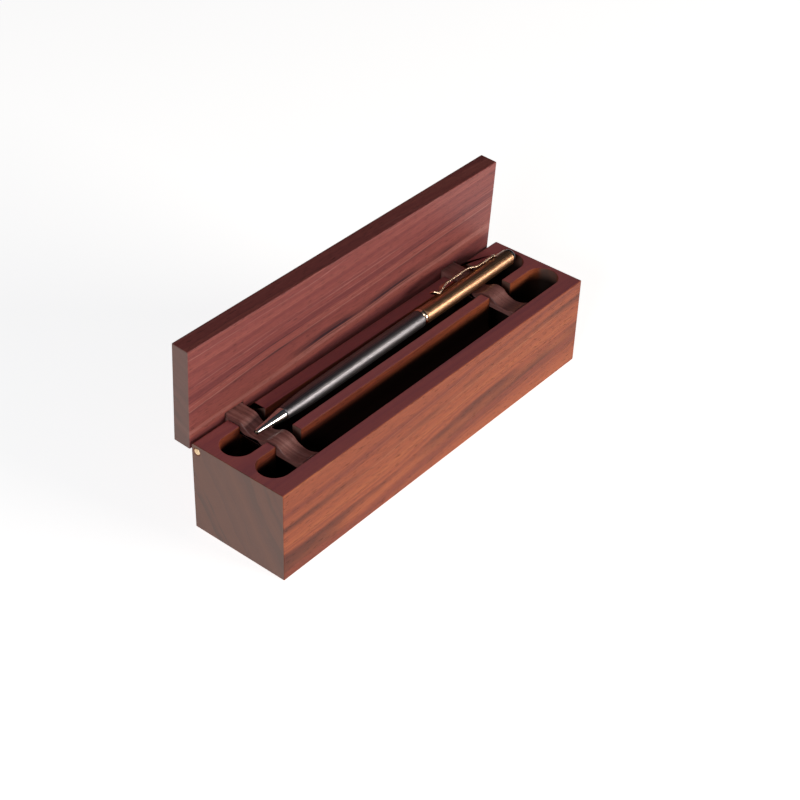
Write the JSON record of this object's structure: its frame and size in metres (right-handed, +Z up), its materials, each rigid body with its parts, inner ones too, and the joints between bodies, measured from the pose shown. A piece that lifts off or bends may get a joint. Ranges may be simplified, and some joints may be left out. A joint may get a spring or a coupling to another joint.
{
  "type": "hinged pen case with lift arms",
  "caption": "Solid wooden pen case with two round-bottomed channels, an upright lid hinged on brass pins, saddled arms that lift the pens, and a slim twist pen in place.",
  "frame": {"origin": "centre of the block's flat underside", "axes": "+X along the block, +Y to the back where the lid stands, +Z up"},
  "size_m": [0.156, 0.0462, 0.0697],
  "materials": {
    "rosewood": "oiled satin",
    "arm_wood": "oiled satin",
    "brass": "polished",
    "chrome": "polished with fine lengthwise lines",
    "gold_plate": "polished with fine lengthwise lines",
    "black_gloss": "gloss",
    "refill_metal": "drawn"
  },
  "bodies": {
    "base": {"base_block": "rosewood", "hinge_pin_left": "brass", "hinge_pin_right": "brass"},
    "lid": {"lid_panel": "rosewood", "lift_arm_left": "arm_wood", "lift_arm_right": "arm_wood"},
    "pen": {"pen_upper_barrel": "gold_plate", "pen_clip": "gold_plate", "pen_end_cap": "black_gloss"},
    "pen_lower": {"pen_lower_barrel": "chrome", "pen_nose_cone": "chrome", "pen_centre_ring": "gold_plate", "pen_twist_sleeve": "brass"},
    "pen_refill": {"pen_refill_tube": "refill_metal", "pen_refill_point": "brass", "pen_refill_carrier": "black_gloss"}
  },
  "joints": [
    {"name": "lid_hinge", "type": "hinge", "parent": "base", "child": "lid", "pos_m": [0, 0.01695, 0.0321], "axis": [1, 0, 0], "range_deg": [-2.3, 87.7]},
    {"name": "pen_lift", "type": "slide", "parent": "base", "child": "pen", "axis": [0, 0, 1], "range_m": [-0.0126, 0.0005]},
    {"name": "pen_twist", "type": "hinge", "parent": "pen", "child": "pen_lower", "pos_m": [-0.0612, 0.0076, 0.03484], "axis": [0.9999, 0, 0.0132], "range_deg": [0, 180]},
    {"name": "refill_feed", "type": "slide", "parent": "pen", "child": "pen_refill", "axis": [-0.9999, 0, -0.0132], "range_m": [0, 0.0028]}
  ],
  "couplings": [
    {"joint": "pen_lift", "follows": "lid_hinge", "m_per_rad": -0.008},
    {"joint": "pen_twist", "follows": "refill_feed", "rad_per_m": 1120}
  ]
}
